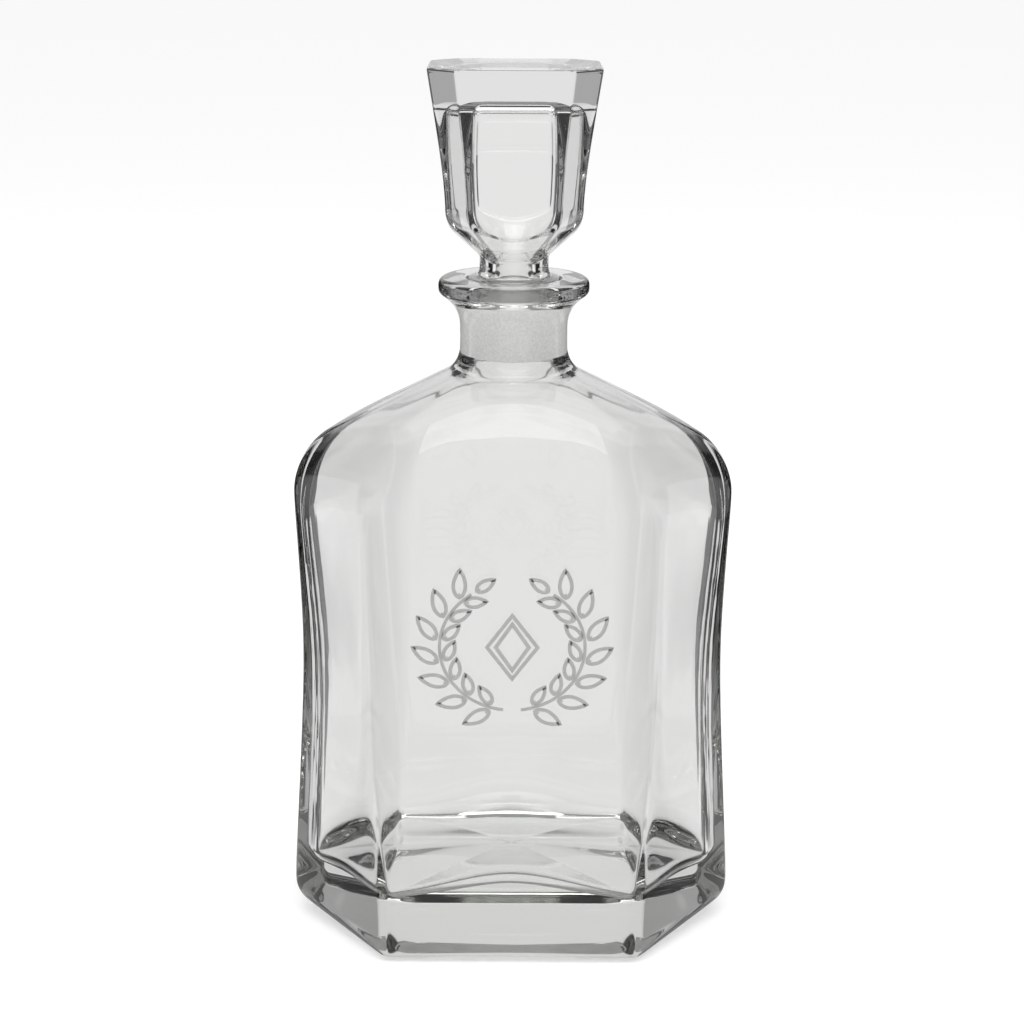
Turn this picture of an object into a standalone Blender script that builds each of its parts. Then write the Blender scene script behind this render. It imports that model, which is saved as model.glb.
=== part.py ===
# Eight-sided glass decanter with a hollow glass stopper, in metres, standing on z = 0 with +Z up.
# The front faces -Y. Both pieces are one closed skin each, lofted from plan outlines and profiles.
import math

import bpy

# Bottle, outside
FOOT_WIDTH = 0.124
WAIST_WIDTH = 0.1167
SHOULDER_WIDTH = 0.1204
BODY_DEPTH = 0.072
FRONT_PANEL_WIDTH = 0.071
SIDE_PANEL_WIDTH = 0.008
FRONT_EDGE_LOW_ROUND = 0.0045
FRONT_EDGE_HIGH_ROUND = 0.02
FRONT_EDGE_SOFTENS_FROM = 0.022
FRONT_EDGE_SOFTENS_OVER = 0.063
SIDE_EDGE_ROUND = 0.0035
WAIST_HEIGHT = 0.081
WAIST_EASE = 0.0138
NECK_FOOT_HEIGHT = 0.1603
SHOULDER_RISE_SHARE = 0.52
SHOULDER_ROUND = 0.02
NECK_FOOT_ROUND = 0.008
HEEL_FRONT_ROUND = 0.004
HEEL_SIDE_ROUND = 0.0105

# Bottle, underside
STANDING_RING_WIDTH = 0.0045
RECESS_SLOPE_WIDTH = 0.008
RECESS_DEPTH = 0.0008

# Bottle, lip
BOTTLE_HEIGHT = 0.184
LIP_REACH = 0.0058
LIP_BAND_HEIGHT = 0.0043
LIP_UNDERSIDE_RISE_SHARE = 0.7
LIP_NECK_ROUND = 0.0098
LIP_EDGE_ROUND = 0.0016
RIM_ROUND = 0.0019
MOUTH_ROUND = 0.0009

# Bottle, walls and cavity
FRONT_WALL = 0.0046
SIDE_WALL = 0.007
SHOULDER_FRONT_WALL = 0.0026
SHOULDER_SIDE_WALL = 0.0038
NECK_WALL = 0.0018
BASE_THICKNESS = 0.0168
FLOOR_LIFT = 0.0026
FLOOR_CORNER_ROUND_HEIGHT = 0.0036
FLOOR_CORNER_ROUND_REACH = 0.005
FLOOR_PANEL_ROUND_HEIGHT = 0.009
FLOOR_PANEL_ROUND_REACH = 0.015
CAVITY_FRONT_EDGE_ROUND = 0.0015
CAVITY_SIDE_EDGE_ROUND = 0.012
CAVITY_SHOULDER_EDGE_ROUND = 0.022
CAVITY_SHOULDER_ROUND = 0.028
THROAT_ROUND = 0.005

# Ground joint between the stopper's plug and the neck
PLUG_TOP_WIDTH = 0.0248
PLUG_TAPER_SHARE = 0.08
PLUG_LENGTH = 0.0215
SEAT_CLEARANCE = 0.0003

# Stopper, outside
STOPPER_TOP_WIDTH = 0.0458
STOPPER_TOP_DEPTH = 0.042
STOPPER_LOW_WIDTH = 0.0364
STOPPER_LOW_DEPTH = 0.0336
STOPPER_CUT_SHARE = 0.165
STOPPER_EDGE_ROUND = 0.0015
STOPPER_RISE = 0.056
STOPPER_UPRIGHT_HEIGHT = 0.012
STOPPER_TOP_EDGE_ROUND = 0.0006
UNDERSIDE_RISE_SHARE = 0.916
UNDERSIDE_ROUND = 0.007
STEM_WIDTH = 0.0186
STEM_HEIGHT = 0.0058
STEM_TOP_ROUND = 0.002
STEM_FOOT_ROUND = 0.0035
PLUG_EDGE_ROUND = 0.0008

# Stopper, hollow
STOPPER_TOP_THICKNESS = 0.0079
STOPPER_WALL = 0.0027
STOPPER_UPPER_WALL = 0.0056
HOLLOW_CUT_SHARE = 0.17
HOLLOW_EDGE_ROUND = 0.0016
HOLLOW_ROOF_DROP = 0.0034
HOLLOW_ROOF_REACH = 0.0072
STEM_BORE_WIDTH = 0.0104
STEM_BORE_ROUND = 0.004
PLUG_WALL = 0.0028

# Facet counts
BODY_STEPS = (3, 6, 3, 1)
STOPPER_STEPS = (2, 5, 2, 4)
BODY_EDGE_STEPS = 3
STOPPER_EDGE_STEPS = 2
WALL_STEPS = 9
ROUND_STEPS = 5
SMALL_ROUND_STEPS = 3
SMOOTH_ANGLE = math.radians(32)

# A round may take this much of the straight run beside it, and a panel keeps this much of its width
ROUND_LIMIT_SHARE = 0.96
PANEL_KEEP_SHARE = 0.1

# The cavity thins from this much of the waist's height, and its floor round opens this much in a cut corner
THINNING_START_SHARE = 0.7
CUT_OPENING_SHARE = 0.6

# Rings of the floor, as shares of its edge, and the flat middle as a share of the last
FLOOR_SHARES = (0.75, 0.45)
FLOOR_FLAT_SHARE = 0.5


def clear_scene():
    for thing in list(bpy.data.objects):
        bpy.data.objects.remove(thing, do_unlink=True)


def part_collection(name):
    collection = bpy.data.collections.new(name)
    bpy.context.scene.collection.children.link(collection)
    return collection


def glass(name, colour, roughness):
    material = bpy.data.materials.new(name)
    material.use_nodes = True
    shader = material.node_tree.nodes["Principled BSDF"]
    shader.inputs["Base Color"].default_value = colour
    shader.inputs["Roughness"].default_value = roughness
    shader.inputs["Metallic"].default_value = 0.0
    shader.inputs["Transmission Weight"].default_value = 1.0
    return material


def rounded_path(corners, closed=False):
    """Points of a path whose corners, given as (x, y, round, steps), are eased by arcs."""
    count = len(corners)

    def run(first, second):
        return math.hypot(corners[second][0] - corners[first][0], corners[second][1] - corners[first][1])

    def reach(index):
        x, y, radius, steps = corners[index]
        before = corners[(index - 1) % count]
        after = corners[(index + 1) % count]
        turn = math.atan2(after[1] - y, after[0] - x) - math.atan2(y - before[1], x - before[0])
        turn = math.remainder(turn, math.tau)
        return turn, radius * abs(math.tan(turn / 2))

    points = []
    for index, (x, y, radius, steps) in enumerate(corners):
        if radius <= 0 or (not closed and index in (0, count - 1)):
            points.append((x, y))
            continue
        turn, length = reach(index)
        for neighbour in ((index - 1) % count, (index + 1) % count):
            rounds = corners[neighbour][2] > 0 and (closed or neighbour not in (0, count - 1))
            other = reach(neighbour)[1] if rounds else 0.0
            room = run(index, neighbour) * ROUND_LIMIT_SHARE
            if length + other > room:
                length = room * length / (length + other)
        before = corners[(index - 1) % count]
        after = corners[(index + 1) % count]
        arrive = math.atan2(y - before[1], x - before[0])
        bend = length / math.tan(abs(turn) / 2)
        side = math.copysign(math.pi / 2, turn)
        start_x = x - length * math.cos(arrive)
        start_y = y - length * math.sin(arrive)
        centre_x = start_x + bend * math.cos(arrive + side)
        centre_y = start_y + bend * math.sin(arrive + side)
        for step in range(steps + 1):
            angle = arrive - side + turn * step / steps
            points.append((centre_x + bend * math.cos(angle), centre_y + bend * math.sin(angle)))
    return points


def eased(share):
    share = min(max(share, 0.0), 1.0)
    return share * share * (3 - 2 * share)


def between(low, high, share):
    return low + (high - low) * share


def inset_plan(plan, inset):
    """A plan moved in: half the width, half the depth, half the front panel and half the side panel."""
    width, depth, front, side = plan
    cut_angle = math.atan2(depth - side, width - front)
    new_front = front - inset * math.tan(cut_angle / 2)
    new_side = side - inset * math.tan((math.pi / 2 - cut_angle) / 2)
    return (width - inset, depth - inset, max(new_front, front * PANEL_KEEP_SHARE),
            max(new_side, side * PANEL_KEEP_SHARE))


def walled_plan(plan, side_wall, front_wall):
    """The plan inside the walls, where the cut corners keep the front's wall."""
    width, depth, front, side = plan
    cut_angle = math.atan2(depth - side, width - front)
    across = math.sin(cut_angle)
    along = math.cos(cut_angle)
    reach = width * across + side * along - front_wall
    inner_width = width - side_wall
    inner_depth = depth - front_wall
    inner_side = (reach - inner_width * across) / along
    return (inner_width, inner_depth, (reach - inner_depth * along) / across,
            max(inner_side, side * PANEL_KEEP_SHARE))


def cut_corner_outline(plan, front_round, side_round, run_steps, edge_steps):
    """Outline of an oblong with its four corners cut off, counterclockwise from +X.

    run_steps divides the cut at +X +Y, the panel at +Y, the next cut and the panel at -X.
    """
    width, depth, front, side = plan
    signs = ((1, 1), (-1, 1), (-1, -1), (1, -1))
    corners = []
    for sign_x, sign_y in signs:
        pair = [(sign_x * width, sign_y * side, side_round, edge_steps),
                (sign_x * front, sign_y * depth, front_round, edge_steps)]
        if sign_x * sign_y < 0:
            pair.reverse()
        corners += pair
    arcs = rounded_path(corners, closed=True)
    per_corner = edge_steps + 1
    outline = []
    for corner, steps in enumerate(run_steps * 2):
        outline += arcs[corner * per_corner:(corner + 1) * per_corner]
        start = arcs[(corner + 1) * per_corner - 1]
        end = arcs[(corner + 1) * per_corner % len(arcs)]
        for step in range(1, steps):
            share = step / steps
            outline.append((start[0] + (end[0] - start[0]) * share, start[1] + (end[1] - start[1]) * share))
    return outline


def level(outline, height):
    return [(x, y, height) for x, y in outline]


def meridian_rings(outline, profile_of):
    """Rings made by asking for a profile in the direction of each point of the outline."""
    columns = []
    for x, y in outline:
        length = math.hypot(x, y)
        columns.append([(x / length * radius, y / length * radius, height)
                        for radius, height in profile_of(length)])
    return [list(ring) for ring in zip(*columns)]


def skinned(name, rings, material, collection):
    """One closed solid from successive rings, capped at the first and the last."""
    size = len(rings[0])
    points = [point for ring in rings for point in ring]
    faces = [list(reversed(range(size)))]
    for row in range(len(rings) - 1):
        low = row * size
        high = low + size
        for column in range(size):
            after = (column + 1) % size
            faces.append((low + column, low + after, high + after, high + column))
    last = (len(rings) - 1) * size
    faces.append(list(range(last, last + size)))
    mesh = bpy.data.meshes.new(name)
    mesh.from_pydata(points, [], faces)
    mesh.update()
    mesh.shade_smooth()
    mesh.set_sharp_from_angle(angle=SMOOTH_ANGLE)
    mesh.materials.append(material)
    solid = bpy.data.objects.new(name, mesh)
    collection.objects.link(solid)
    return solid


# Ground joint: the plug's radius at a height, measured from the rim, and the bore that receives it
def plug_radius(height):
    return PLUG_TOP_WIDTH / 2 - (BOTTLE_HEIGHT - height) * PLUG_TAPER_SHARE / 2


def bore_radius(height):
    return plug_radius(height) + SEAT_CLEARANCE


NECK_RADIUS = PLUG_TOP_WIDTH / 2 + SEAT_CLEARANCE + NECK_WALL
SHOULDER_ANGLE = math.atan(SHOULDER_RISE_SHARE)
SHOULDER_TURN = math.pi / 2 - SHOULDER_ANGLE


def shoulder_height(radius, wall=0.0):
    """Height of the conical shoulder at a radius, or of the cone a wall's thickness below it."""
    drop = (radius - NECK_RADIUS) * SHOULDER_RISE_SHARE
    return NECK_FOOT_HEIGHT - drop - wall / math.cos(SHOULDER_ANGLE)


def neck_tangent_radius():
    return NECK_RADIUS + NECK_FOOT_ROUND * math.tan(SHOULDER_TURN / 2) * math.cos(SHOULDER_ANGLE)


def shoulder_round_at(radius, wished):
    """The shoulder's round, kept clear of the round at the neck's foot."""
    room = (radius - neck_tangent_radius()) * ROUND_LIMIT_SHARE
    return min(wished, room / (math.cos(SHOULDER_ANGLE) * math.tan(SHOULDER_TURN / 2)))


SHOULDER_START = (shoulder_height(SHOULDER_WIDTH / 2)
                  - SHOULDER_ROUND * math.tan(SHOULDER_TURN / 2))


def half_width_at(height):
    """Half the body's width: drawn in at the waist, wider to the shoulder and to the foot."""
    if height < WAIST_HEIGHT:
        reach = WAIST_HEIGHT - HEEL_SIDE_ROUND
        gain = (FOOT_WIDTH - WAIST_WIDTH) / 2
    else:
        reach = SHOULDER_START - WAIST_HEIGHT
        gain = (SHOULDER_WIDTH - WAIST_WIDTH) / 2
    along = min(abs(height - WAIST_HEIGHT), reach)
    ease = math.hypot(WAIST_EASE, along) - WAIST_EASE
    return WAIST_WIDTH / 2 + gain * ease / (math.hypot(WAIST_EASE, reach) - WAIST_EASE)


def body_plan(height):
    return (half_width_at(height), BODY_DEPTH / 2, FRONT_PANEL_WIDTH / 2, SIDE_PANEL_WIDTH / 2)


def front_round_at(height):
    """The round between the front and the cut corners: tight at the foot, soft from the waist up."""
    share = eased((height - FRONT_EDGE_SOFTENS_FROM) / FRONT_EDGE_SOFTENS_OVER)
    return between(FRONT_EDGE_LOW_ROUND, FRONT_EDGE_HIGH_ROUND, share)


def body_outline(height, inset=0.0):
    return cut_corner_outline(inset_plan(body_plan(height), inset), front_round_at(height), SIDE_EDGE_ROUND,
                              BODY_STEPS, BODY_EDGE_STEPS)


def cavity_outline(height, inset=0.0):
    """The cavity's outline at a height: its walls thin and its side edges soften to the shoulder."""
    thin_from = WAIST_HEIGHT * THINNING_START_SHARE
    thinning = eased((height - thin_from) / (SHOULDER_START - thin_from))
    softening = eased((height - WAIST_HEIGHT) / (SHOULDER_START - WAIST_HEIGHT))
    side_wall = between(SIDE_WALL, SHOULDER_SIDE_WALL, thinning)
    front_wall = between(FRONT_WALL, SHOULDER_FRONT_WALL, thinning)
    plan = walled_plan(body_plan(height), side_wall, front_wall)
    front_round = max(front_round_at(height) - front_wall, CAVITY_FRONT_EDGE_ROUND)
    side_round = between(CAVITY_SIDE_EDGE_ROUND, CAVITY_SHOULDER_EDGE_ROUND, softening)
    return cut_corner_outline(inset_plan(plan, inset), front_round, side_round, BODY_STEPS, BODY_EDGE_STEPS)


def upright_rings(outline_of, bottoms, tops):
    """Rings from a height of its own up to a top of its own in every direction."""
    rings = []
    for step in range(WALL_STEPS + 1):
        ring = []
        for index, (bottom, top) in enumerate(zip(bottoms, tops)):
            height = bottom + (top - bottom) * step / WALL_STEPS
            x, y = outline_of(height)[index]
            ring.append((x, y, height))
        rings.append(ring)
    return rings


def past_front_share(x):
    """How far a point lies from the front panel's edge, at 0, to the side panel, at 1."""
    front = FRONT_PANEL_WIDTH / 2
    return max(abs(x) - front, 0.0) / (FOOT_WIDTH / 2 - front)


def heels_around():
    """The heel's round in every direction: small along the front, opening to the sides."""
    return [between(HEEL_FRONT_ROUND, HEEL_SIDE_ROUND, past_front_share(x))
            for x, y in body_outline(HEEL_FRONT_ROUND)]


def bottle_outside_rings():
    heels = heels_around()

    def foot_ring(inset, height):
        return [(*body_outline(heel, heel + inset)[index], height) for index, heel in enumerate(heels)]

    rings = [
        foot_ring(STANDING_RING_WIDTH + RECESS_SLOPE_WIDTH, RECESS_DEPTH),
        foot_ring(STANDING_RING_WIDTH + RECESS_SLOPE_WIDTH / 2, RECESS_DEPTH / 2),
        foot_ring(STANDING_RING_WIDTH, 0.0),
    ]
    for step in range(ROUND_STEPS):
        angle = math.pi / 2 * step / ROUND_STEPS
        ring = []
        for index, heel in enumerate(heels):
            x, y = body_outline(heel, heel * (1 - math.sin(angle)))[index]
            ring.append((x, y, heel * (1 - math.cos(angle))))
        rings.append(ring)

    shoulder_plan = body_outline(SHOULDER_START)
    tops = []
    for x, y in shoulder_plan:
        radius = math.hypot(x, y)
        round_here = shoulder_round_at(radius, SHOULDER_ROUND)
        tops.append(shoulder_height(radius) - round_here * math.tan(SHOULDER_TURN / 2))
    rings += upright_rings(body_outline, heels, tops)

    def upper_profile(radius):
        lip_radius = NECK_RADIUS + LIP_REACH
        band_foot = BOTTLE_HEIGHT - LIP_BAND_HEIGHT
        flare_foot = band_foot - LIP_REACH * LIP_UNDERSIDE_RISE_SHARE
        corners = [
            (radius, 0.0, 0.0, 0),
            (radius, shoulder_height(radius), shoulder_round_at(radius, SHOULDER_ROUND), ROUND_STEPS),
            (NECK_RADIUS, NECK_FOOT_HEIGHT, NECK_FOOT_ROUND, ROUND_STEPS),
            (NECK_RADIUS, flare_foot, LIP_NECK_ROUND, ROUND_STEPS),
            (lip_radius, band_foot, LIP_EDGE_ROUND, SMALL_ROUND_STEPS),
            (lip_radius, BOTTLE_HEIGHT, RIM_ROUND, SMALL_ROUND_STEPS),
            (bore_radius(BOTTLE_HEIGHT), BOTTLE_HEIGHT, MOUTH_ROUND, SMALL_ROUND_STEPS),
            (bore_radius(0.0), 0.0, 0.0, 0),
        ]
        return rounded_path(corners)[2:-1]

    rings += meridian_rings(shoulder_plan, upper_profile)
    return rings


def floor_edges_around():
    """The floor's edge height, round height and round reach in every direction.

    The floor is highest and its round widest in the middle of the front and the back.
    """
    front = FRONT_PANEL_WIDTH / 2
    edges = []
    for x, y in cavity_outline(BASE_THICKNESS + FLOOR_CORNER_ROUND_HEIGHT):
        if abs(x) < front:
            opening = 1 - eased(abs(x) / front)
            lift = FLOOR_LIFT * opening
        else:
            opening = CUT_OPENING_SHARE * max(1 - abs(2 * past_front_share(x) - 1), 0.0)
            lift = 0.0
        edges.append((BASE_THICKNESS + lift,
                      between(FLOOR_CORNER_ROUND_HEIGHT, FLOOR_PANEL_ROUND_HEIGHT, opening),
                      between(FLOOR_CORNER_ROUND_REACH, FLOOR_PANEL_ROUND_REACH, opening)))
    return edges


def bottle_inside_rings():
    throat_radius = NECK_RADIUS - NECK_WALL
    throat_height = shoulder_height(throat_radius, SHOULDER_FRONT_WALL)
    corner_height = shoulder_height(SHOULDER_WIDTH / 2 - SHOULDER_SIDE_WALL, SHOULDER_FRONT_WALL)
    inner_plan = cavity_outline(corner_height - CAVITY_SHOULDER_ROUND * math.tan(SHOULDER_TURN / 2))

    def lower_profile(radius):
        corners = [
            (bore_radius(BOTTLE_HEIGHT), BOTTLE_HEIGHT, 0.0, 0),
            (bore_radius(throat_height), throat_height, THROAT_ROUND, SMALL_ROUND_STEPS),
            (radius, shoulder_height(radius, SHOULDER_FRONT_WALL),
             shoulder_round_at(radius, CAVITY_SHOULDER_ROUND), ROUND_STEPS),
            (radius, 0.0, 0.0, 0),
        ]
        return rounded_path(corners)[1:-2]

    rings = meridian_rings(inner_plan, lower_profile)
    edges = floor_edges_around()
    tops = []
    for x, y in inner_plan:
        radius = math.hypot(x, y)
        round_here = shoulder_round_at(radius, CAVITY_SHOULDER_ROUND)
        tops.append(shoulder_height(radius, SHOULDER_FRONT_WALL) - round_here * math.tan(SHOULDER_TURN / 2))
    bottoms = [edge_height + round_height for edge_height, round_height, reach in edges]
    rings += reversed(upright_rings(cavity_outline, bottoms, tops))
    for step in range(1, ROUND_STEPS + 1):
        angle = math.pi / 2 * step / ROUND_STEPS
        ring = []
        for index, (edge_height, round_height, reach) in enumerate(edges):
            inset = reach * (1 - math.cos(angle))
            x, y = cavity_outline(edge_height + round_height, inset)[index]
            ring.append((x, y, edge_height + round_height * (1 - math.sin(angle))))
        rings.append(ring)
    # The floor rises evenly from its edge to a flat middle
    middle = BASE_THICKNESS + FLOOR_LIFT
    edge = rings[-1]
    for share in FLOOR_SHARES:
        rings.append([(x * share, y * share, between(middle, height, share * share)) for x, y, height in edge])
    flat = FLOOR_SHARES[-1] * FLOOR_FLAT_SHARE
    rings.append([(x * flat, y * flat, middle) for x, y, height in edge])
    return rings


def build_bottle(collection):
    material = glass("clear_glass", (0.9, 0.92, 0.91, 1.0), 0.02)
    return skinned("bottle", bottle_outside_rings() + bottle_inside_rings(), material, collection)


# Stopper, measured up from the rim that it seats in
STOPPER_TOP = BOTTLE_HEIGHT + STOPPER_RISE
STEM_TOP = BOTTLE_HEIGHT + STEM_HEIGHT
PLUG_FOOT = BOTTLE_HEIGHT - PLUG_LENGTH
STOPPER_LOW_CORNER = STEM_TOP + (STOPPER_LOW_WIDTH - STEM_WIDTH) / 2 * UNDERSIDE_RISE_SHARE
STOPPER_UPRIGHT_TOP = STOPPER_LOW_CORNER + STOPPER_UPRIGHT_HEIGHT
HOLLOW_TOP = STOPPER_TOP - STOPPER_TOP_THICKNESS


def underside_height(radius):
    return STEM_TOP + (radius - STEM_WIDTH / 2) * UNDERSIDE_RISE_SHARE


def flared(low, high, height):
    """A size that keeps its low value to the upright's top and then grows evenly to the stopper's top."""
    share = (height - STOPPER_UPRIGHT_TOP) / (STOPPER_TOP - STOPPER_UPRIGHT_TOP)
    return low + (high - low) * min(max(share, 0.0), 1.0)


def cut_square_outline(half_width, half_depth, cut_share, edge_round, inset):
    cut = 2 * half_width * cut_share
    plan = inset_plan((half_width, half_depth, half_width - cut, half_depth - cut), inset)
    return cut_corner_outline(plan, edge_round, edge_round, STOPPER_STEPS, STOPPER_EDGE_STEPS)


def stopper_outline(height, inset=0.0):
    half_width = flared(STOPPER_LOW_WIDTH, STOPPER_TOP_WIDTH, height) / 2
    half_depth = flared(STOPPER_LOW_DEPTH, STOPPER_TOP_DEPTH, height) / 2
    return cut_square_outline(half_width, half_depth, STOPPER_CUT_SHARE, STOPPER_EDGE_ROUND, inset)


def hollow_outline(height, wall, inset=0.0):
    half_width = flared(STOPPER_LOW_WIDTH, STOPPER_TOP_WIDTH, height) / 2 - wall
    half_depth = flared(STOPPER_LOW_DEPTH, STOPPER_TOP_DEPTH, height) / 2 - wall
    return cut_square_outline(half_width, half_depth, HOLLOW_CUT_SHARE, HOLLOW_EDGE_ROUND, inset)


def stopper_outside_rings():
    plan = stopper_outline(STOPPER_LOW_CORNER)
    stem_radius = STEM_WIDTH / 2

    def lower_profile(radius):
        corners = [
            (0.0, PLUG_FOOT, 0.0, 0),
            (plug_radius(PLUG_FOOT), PLUG_FOOT, PLUG_EDGE_ROUND, SMALL_ROUND_STEPS),
            (plug_radius(BOTTLE_HEIGHT), BOTTLE_HEIGHT, PLUG_EDGE_ROUND, SMALL_ROUND_STEPS),
            (stem_radius, BOTTLE_HEIGHT, STEM_FOOT_ROUND, ROUND_STEPS),
            (stem_radius, STEM_TOP, STEM_TOP_ROUND, SMALL_ROUND_STEPS),
            (radius, underside_height(radius), UNDERSIDE_ROUND, ROUND_STEPS),
            (radius, STOPPER_TOP, 0.0, 0),
        ]
        return rounded_path(corners)[1:-1]

    rings = meridian_rings(plan, lower_profile)
    rings.append(level(stopper_outline(STOPPER_UPRIGHT_TOP), STOPPER_UPRIGHT_TOP))
    edge_foot = STOPPER_TOP - STOPPER_TOP_EDGE_ROUND
    for step in range(STOPPER_EDGE_STEPS + 1):
        angle = math.pi / 2 * step / STOPPER_EDGE_STEPS
        inset = STOPPER_TOP_EDGE_ROUND * (1 - math.cos(angle))
        height = edge_foot + STOPPER_TOP_EDGE_ROUND * math.sin(angle)
        rings.append(level(stopper_outline(edge_foot, inset), height))
    return rings


def stopper_hollow_rings():
    bore = STEM_BORE_WIDTH / 2
    plan = hollow_outline(STOPPER_LOW_CORNER, STOPPER_WALL)
    lift = STOPPER_WALL / math.cos(math.atan(UNDERSIDE_RISE_SHARE))
    bore_top = underside_height(bore) + lift
    plug_bore = plug_radius(PLUG_FOOT) - PLUG_WALL
    neck_in = BOTTLE_HEIGHT - PLUG_WALL

    def rising_profile(radius):
        corners = [
            (plug_bore + PLUG_EDGE_ROUND, PLUG_FOOT, 0.0, 0),
            (plug_bore, PLUG_FOOT + PLUG_EDGE_ROUND, 0.0, 0),
            (plug_bore, neck_in, STEM_BORE_ROUND, ROUND_STEPS),
            (bore, neck_in + (plug_bore - bore), STEM_BORE_ROUND, SMALL_ROUND_STEPS),
            (bore, bore_top, STEM_BORE_ROUND, SMALL_ROUND_STEPS),
            (radius, underside_height(radius) + lift, UNDERSIDE_ROUND, ROUND_STEPS),
            (radius, STOPPER_TOP, 0.0, 0),
        ]
        return rounded_path(corners)[:-1]

    rings = meridian_rings(plan, rising_profile)
    rings.append(level(hollow_outline(STOPPER_UPRIGHT_TOP, STOPPER_WALL), STOPPER_UPRIGHT_TOP))
    roof_foot = HOLLOW_TOP - HOLLOW_ROOF_DROP
    for step in range(ROUND_STEPS + 1):
        angle = math.pi / 2 * step / ROUND_STEPS
        inset = HOLLOW_ROOF_REACH * (1 - math.cos(angle))
        height = roof_foot + HOLLOW_ROOF_DROP * math.sin(angle)
        rings.append(level(hollow_outline(roof_foot, STOPPER_UPPER_WALL, inset), height))
    return rings


def build_stopper(collection):
    material = glass("stopper_glass", (0.9, 0.92, 0.91, 1.0), 0.02)
    # The skin runs from the hollow's roof down and out of the plug, then up to the top
    rings = list(reversed(stopper_hollow_rings())) + stopper_outside_rings()
    return skinned("stopper", rings, material, collection)


def main():
    clear_scene()
    collection = part_collection("decanter")
    build_bottle(collection)
    build_stopper(collection)


main()
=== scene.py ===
import math

import bmesh
import bpy
from mathutils import Matrix, Vector


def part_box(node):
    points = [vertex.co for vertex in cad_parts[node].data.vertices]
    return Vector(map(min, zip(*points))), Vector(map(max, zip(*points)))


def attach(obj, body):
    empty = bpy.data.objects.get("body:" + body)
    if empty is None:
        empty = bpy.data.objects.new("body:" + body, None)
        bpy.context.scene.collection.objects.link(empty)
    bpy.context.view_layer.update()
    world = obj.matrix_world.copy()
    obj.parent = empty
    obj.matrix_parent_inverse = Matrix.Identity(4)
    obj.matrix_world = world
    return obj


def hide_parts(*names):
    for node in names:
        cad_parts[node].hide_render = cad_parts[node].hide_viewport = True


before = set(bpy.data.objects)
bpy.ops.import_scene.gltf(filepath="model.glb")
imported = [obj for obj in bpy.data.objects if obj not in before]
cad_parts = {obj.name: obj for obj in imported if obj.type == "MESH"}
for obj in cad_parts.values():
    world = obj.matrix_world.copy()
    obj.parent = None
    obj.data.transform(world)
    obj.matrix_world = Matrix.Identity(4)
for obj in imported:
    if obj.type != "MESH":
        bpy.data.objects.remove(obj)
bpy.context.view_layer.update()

bottleLow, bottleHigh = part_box("bottle")
stopperLow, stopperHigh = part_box("stopper")

# Metres throughout. The bottle and the stopper are smooth skins over the two solids of the frame.

# Profiles and plans
roundRoom = 0.96                       # how much of a straight run its rounds may take up
leastPanel = 0.1                       # what is kept of a panel when its plan is inset


def roundedPath(corners, closed=False):
    # a corner is x, y, the radius of its round and the steps in it
    count = len(corners)

    def turnAndReach(index):
        x, y, radius, steps = corners[index]
        before = corners[(index - 1) % count]
        after = corners[(index + 1) % count]
        turn = math.atan2(after[1] - y, after[0] - x) - math.atan2(y - before[1], x - before[0])
        turn = math.remainder(turn, math.tau)
        return turn, radius * abs(math.tan(turn / 2))

    points = []
    for index, (x, y, radius, steps) in enumerate(corners):
        if radius <= 0 or (not closed and index in (0, count - 1)):
            points.append((x, y))
            continue
        turn, length = turnAndReach(index)
        for neighbour in ((index - 1) % count, (index + 1) % count):
            other = turnAndReach(neighbour)[1] if corners[neighbour][2] > 0 else 0.0
            room = math.dist(corners[index][:2], corners[neighbour][:2]) * roundRoom
            if length + other > room:
                length = room * length / (length + other)
        before = corners[(index - 1) % count]
        arrive = math.atan2(y - before[1], x - before[0])
        bend = length / math.tan(abs(turn) / 2)
        side = math.copysign(math.pi / 2, turn)
        centreX = x - length * math.cos(arrive) + bend * math.cos(arrive + side)
        centreY = y - length * math.sin(arrive) + bend * math.sin(arrive + side)
        for step in range(steps + 1):
            angle = arrive - side + turn * step / steps
            points.append((centreX + bend * math.cos(angle), centreY + bend * math.sin(angle)))
    return points


# A plan is half the width, half the depth, half the front panel and half the side panel
def insetPlan(plan, inset):
    width, depth, front, side = plan
    cutAngle = math.atan2(depth - side, width - front)
    return (width - inset, depth - inset,
            max(front - inset * math.tan(cutAngle / 2), front * leastPanel),
            max(side - inset * math.tan((math.pi / 2 - cutAngle) / 2), side * leastPanel))


def wallPlan(plan, sideWall, frontWall):
    # the cut corners keep the front's wall
    width, depth, front, side = plan
    cutAngle = math.atan2(depth - side, width - front)
    across, along = math.sin(cutAngle), math.cos(cutAngle)
    reach = width * across + side * along - frontWall
    width -= sideWall
    depth -= frontWall
    return (width, depth, (reach - depth * along) / across,
            max((reach - width * across) / along, side * leastPanel))


def cutCornerOutline(plan, frontRound, sideRound, runSteps, edgeSteps):
    # counterclockwise from the +X side
    width, depth, front, side = plan
    corners = []
    for signX, signY in ((1, 1), (-1, 1), (-1, -1), (1, -1)):
        pair = [(signX * width, signY * side, sideRound),
                (signX * front, signY * depth, frontRound)]
        if signX * signY < 0:
            pair.reverse()
        corners += [(x, y, radius, edgeSteps) for x, y, radius in pair]
    arcs = roundedPath(corners, closed=True)
    perCorner = edgeSteps + 1
    outline = []
    for corner, steps in enumerate(runSteps * 2):
        outline += arcs[corner * perCorner:(corner + 1) * perCorner]
        start = arcs[(corner + 1) * perCorner - 1]
        end = arcs[(corner + 1) * perCorner % len(arcs)]
        for step in range(1, steps):
            share = step / steps
            outline.append((start[0] + (end[0] - start[0]) * share,
                            start[1] + (end[1] - start[1]) * share))
    return outline


def eased(share):
    share = min(max(share, 0.0), 1.0)
    return share * share * (3 - 2 * share)


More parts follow.
